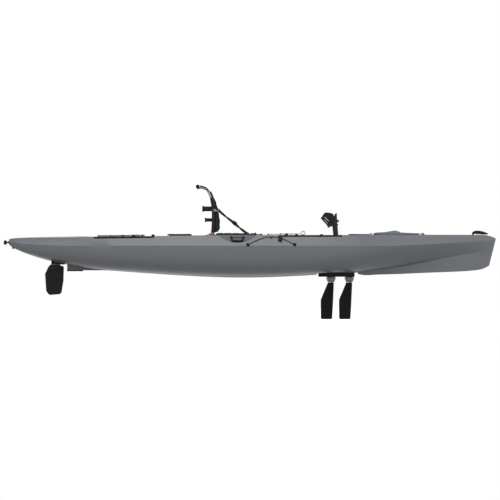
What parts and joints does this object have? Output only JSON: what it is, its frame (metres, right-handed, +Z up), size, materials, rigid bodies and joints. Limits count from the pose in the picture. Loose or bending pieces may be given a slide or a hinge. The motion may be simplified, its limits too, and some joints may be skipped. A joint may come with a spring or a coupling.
{
  "type": "pedal kayak",
  "caption": "Sit-on-top touring kayak with a pedal drive that sweeps a pair of underwater fins, a framed mesh seat, a folding rudder, hatches and carry handles.",
  "frame": {"origin": "amidships on the centreline, at the level of the lowest fin tip", "axes": "+X towards the bow, +Y to port, +Z up"},
  "size_m": [4.8898, 0.7584, 1.334],
  "materials": {
    "hull_plastic": "matte",
    "lid_plastic": "matte",
    "black_plastic": "satin",
    "grey_plastic": "matte",
    "hub_plastic": "satin",
    "rubber": "matte",
    "aluminium": "satin",
    "dark_aluminium": "anodised",
    "steel": "brushed",
    "mesh_fabric": "woven",
    "webbing": "woven",
    "orange_webbing": "woven"
  },
  "bodies": {
    "boat": {"hull_shell": "hull_plastic", "skeg_strip": "black_plastic", "rear_rails": "black_plastic", "front_rails": "black_plastic", "rail_knobs": "black_plastic", "deck_rings": "steel", "deck_padeyes": "black_plastic", "scupper_sleeves": "grey_plastic", "mast_socket": "black_plastic", "rear_hatch_ring": "black_plastic", "centre_hatch_ring": "black_plastic", "bow_hatch_seal": "rubber", "bow_hatch_hinge": "black_plastic", "bow_handle_clip": "grey_plastic", "stern_handle_clips": "grey_plastic", "side_handle_clips": "grey_plastic", "paddle_keeper_studs": "black_plastic", "paddle_keeper_cords": "webbing", "paddle_keeper_toggles": "black_plastic", "tankwell_cord": "webbing", "seat_base_frame": "dark_aluminium", "seat_feet": "grey_plastic", "seat_pan": "mesh_fabric", "seat_hinge_pins": "steel", "seat_pull_tab": "orange_webbing", "drive_spine": "black_plastic", "drive_plate": "black_plastic", "drive_axle": "steel", "rudder_bracket": "black_plastic", "steering_base": "grey_plastic"},
    "drain_plug": {"drain_plug": "black_plastic"},
    "bow_lid": {"bow_hatch_lid": "lid_plastic"},
    "bow_latch": {"bow_hatch_latch": "grey_plastic"},
    "rear_lid": {"rear_hatch_lid": "grey_plastic"},
    "centre_lid": {"centre_hatch_lid": "grey_plastic"},
    "bow_grip": {"bow_handle": "rubber"},
    "stern_grip": {"stern_handle": "rubber"},
    "side_grip_starboard": {"side_handle_starboard": "rubber"},
    "side_grip_port": {"side_handle_port": "rubber"},
    "seat_back": {"seat_back_frame": "aluminium", "seat_back_pad": "mesh_fabric", "seat_back_bar": "rubber", "seat_bumpers": "grey_plastic"},
    "strap_starboard": {"seat_strap_starboard": "webbing"},
    "strap_port": {"seat_strap_port": "webbing"},
    "crank_arm_starboard": {"crank_starboard": "dark_aluminium"},
    "crank_arm_port": {"crank_port": "dark_aluminium"},
    "foot_pedal_starboard": {"pedal_starboard": "black_plastic"},
    "foot_pedal_port": {"pedal_port": "black_plastic"},
    "latch_starboard": {"drive_latch_starboard": "grey_plastic"},
    "latch_port": {"drive_latch_port": "grey_plastic"},
    "fin_drum_front": {"fin_hub_front": "hub_plastic"},
    "fin_drum_rear": {"fin_hub_rear": "hub_plastic"},
    "fin_front": {"fin_blade_front": "rubber"},
    "fin_rear": {"fin_blade_rear": "rubber"},
    "yoke": {"rudder_yoke": "grey_plastic"},
    "rudder": {"rudder_blade": "black_plastic"},
    "tiller": {"steering_lever": "black_plastic"},
    "pull_up": {"rudder_pull_up": "black_plastic"},
    "pull_down": {"rudder_pull_down": "black_plastic"}
  },
  "joints": [
    {"name": "drain_turn", "type": "hinge", "parent": "boat", "child": "drain_plug", "pos_m": [-2.353, 0, 0.709], "axis": [0.5, 0, 0.866], "continuous": true},
    {"name": "bow_lid_hinge", "type": "hinge", "parent": "boat", "child": "bow_lid", "pos_m": [1.718, 0, 0.851], "axis": [0, 1, 0], "range_deg": [0, 100]},
    {"name": "bow_latch_turn", "type": "hinge", "parent": "boat", "child": "bow_latch", "pos_m": [1.201, 0, 0.847], "axis": [0, 0, 1], "range_deg": [-90, 90]},
    {"name": "rear_lid_turn", "type": "hinge", "parent": "boat", "child": "rear_lid", "pos_m": [-0.7, 0, 0.831], "axis": [0, 0, 1], "range_deg": [0, 90]},
    {"name": "centre_lid_turn", "type": "hinge", "parent": "boat", "child": "centre_lid", "pos_m": [0.33, 0, 0.566], "axis": [0, 0, 1], "range_deg": [0, 90]},
    {"name": "bow_grip_lift", "type": "hinge", "parent": "boat", "child": "bow_grip", "pos_m": [2.22, 0, 0.85922], "axis": [0, -1, 0], "range_deg": [0, 95]},
    {"name": "stern_grip_swing", "type": "hinge", "parent": "boat", "child": "stern_grip", "pos_m": [-2.401, 0, 0.764], "axis": [0, 1, 0], "range_deg": [-40, 40]},
    {"name": "side_grip_starboard_lift", "type": "hinge", "parent": "boat", "child": "side_grip_starboard", "pos_m": [-0.124, -0.31, 0.814], "axis": [-1, 0, 0], "range_deg": [0, 85]},
    {"name": "side_grip_port_lift", "type": "hinge", "parent": "boat", "child": "side_grip_port", "pos_m": [-0.124, 0.31, 0.814], "axis": [1, 0, 0], "range_deg": [0, 85]},
    {"name": "seat_recline", "type": "hinge", "parent": "boat", "child": "seat_back", "pos_m": [-0.372, 0, 0.857], "axis": [0, 1, 0], "range_deg": [-8, 8]},
    {"name": "strap_starboard_swing", "type": "hinge", "parent": "boat", "child": "strap_starboard", "pos_m": [-0.02, 0, 0.847], "axis": [0, 1, 0], "range_deg": [-2.5, 2.5]},
    {"name": "strap_port_swing", "type": "hinge", "parent": "boat", "child": "strap_port", "pos_m": [-0.02, 0, 0.847], "axis": [0, 1, 0], "range_deg": [-2.5, 2.5]},
    {"name": "crank_starboard_swing", "type": "hinge", "parent": "boat", "child": "crank_arm_starboard", "pos_m": [0.878, 0, 0.544], "axis": [0, 1, 0], "range_deg": [-30, 30]},
    {"name": "crank_port_swing", "type": "hinge", "parent": "boat", "child": "crank_arm_port", "pos_m": [0.878, 0, 0.544], "axis": [0, 1, 0], "range_deg": [-30, 30]},
    {"name": "pedal_starboard_tilt", "type": "hinge", "parent": "crank_arm_starboard", "child": "foot_pedal_starboard", "pos_m": [0.789, 0, 0.934], "axis": [0, 1, 0], "range_deg": [-25, 35]},
    {"name": "pedal_port_tilt", "type": "hinge", "parent": "crank_arm_port", "child": "foot_pedal_port", "pos_m": [0.789, 0, 0.934], "axis": [0, 1, 0], "range_deg": [-25, 35]},
    {"name": "latch_starboard_turn", "type": "hinge", "parent": "boat", "child": "latch_starboard", "pos_m": [0.973, -0.033, 0.478], "axis": [0, 1, 0], "range_deg": [-40, 40]},
    {"name": "latch_port_turn", "type": "hinge", "parent": "boat", "child": "latch_port", "pos_m": [0.973, 0.033, 0.478], "axis": [0, 1, 0], "range_deg": [-40, 40]},
    {"name": "fin_front_sweep", "type": "hinge", "parent": "boat", "child": "fin_drum_front", "pos_m": [0.987, 0, 0.404], "axis": [1, 0, 0], "range_deg": [-85, 85]},
    {"name": "fin_rear_sweep", "type": "hinge", "parent": "boat", "child": "fin_drum_rear", "pos_m": [0.805, 0, 0.404], "axis": [1, 0, 0], "range_deg": [-85, 85]},
    {"name": "fin_front_twist", "type": "hinge", "parent": "fin_drum_front", "child": "fin_front", "pos_m": [0.993, 0, 0.216], "axis": [0, 0, 1], "range_deg": [-28, 28]},
    {"name": "fin_rear_twist", "type": "hinge", "parent": "fin_drum_rear", "child": "fin_rear", "pos_m": [0.811, 0, 0.216], "axis": [0, 0, 1], "range_deg": [-28, 28]},
    {"name": "rudder_steer", "type": "hinge", "parent": "boat", "child": "yoke", "pos_m": [-1.908, 0, 0.536], "axis": [0, 0, 1], "range_deg": [-35, 35]},
    {"name": "rudder_stow", "type": "hinge", "parent": "yoke", "child": "rudder", "pos_m": [-1.986, 0, 0.512], "axis": [0, 1, 0], "range_deg": [0, 90]},
    {"name": "tiller_turn", "type": "hinge", "parent": "boat", "child": "tiller", "pos_m": [0.112, 0.287, 0.841], "axis": [0, 0, 1], "range_deg": [-42, 42]},
    {"name": "pull_up_slide", "type": "slide", "parent": "boat", "child": "pull_up", "axis": [-1, 0, 0], "range_m": [0, 0.12]},
    {"name": "pull_down_slide", "type": "slide", "parent": "boat", "child": "pull_down", "axis": [1, 0, 0], "range_m": [0, 0.12]}
  ],
  "couplings": [
    {"joint": "crank_port_swing", "follows": "crank_starboard_swing", "ratio": -1},
    {"joint": "fin_front_sweep", "follows": "crank_starboard_swing", "ratio": 2.8},
    {"joint": "fin_rear_sweep", "follows": "crank_starboard_swing", "ratio": -2.8},
    {"joint": "strap_starboard_swing", "follows": "seat_recline", "ratio": 0.249},
    {"joint": "strap_port_swing", "follows": "seat_recline", "ratio": 0.249},
    {"joint": "tiller_turn", "follows": "rudder_steer", "ratio": -1.2},
    {"joint": "pull_up_slide", "follows": "rudder_stow", "m_per_rad": 0.076},
    {"joint": "pull_down_slide", "follows": "rudder_stow", "m_per_rad": 0.076}
  ]
}
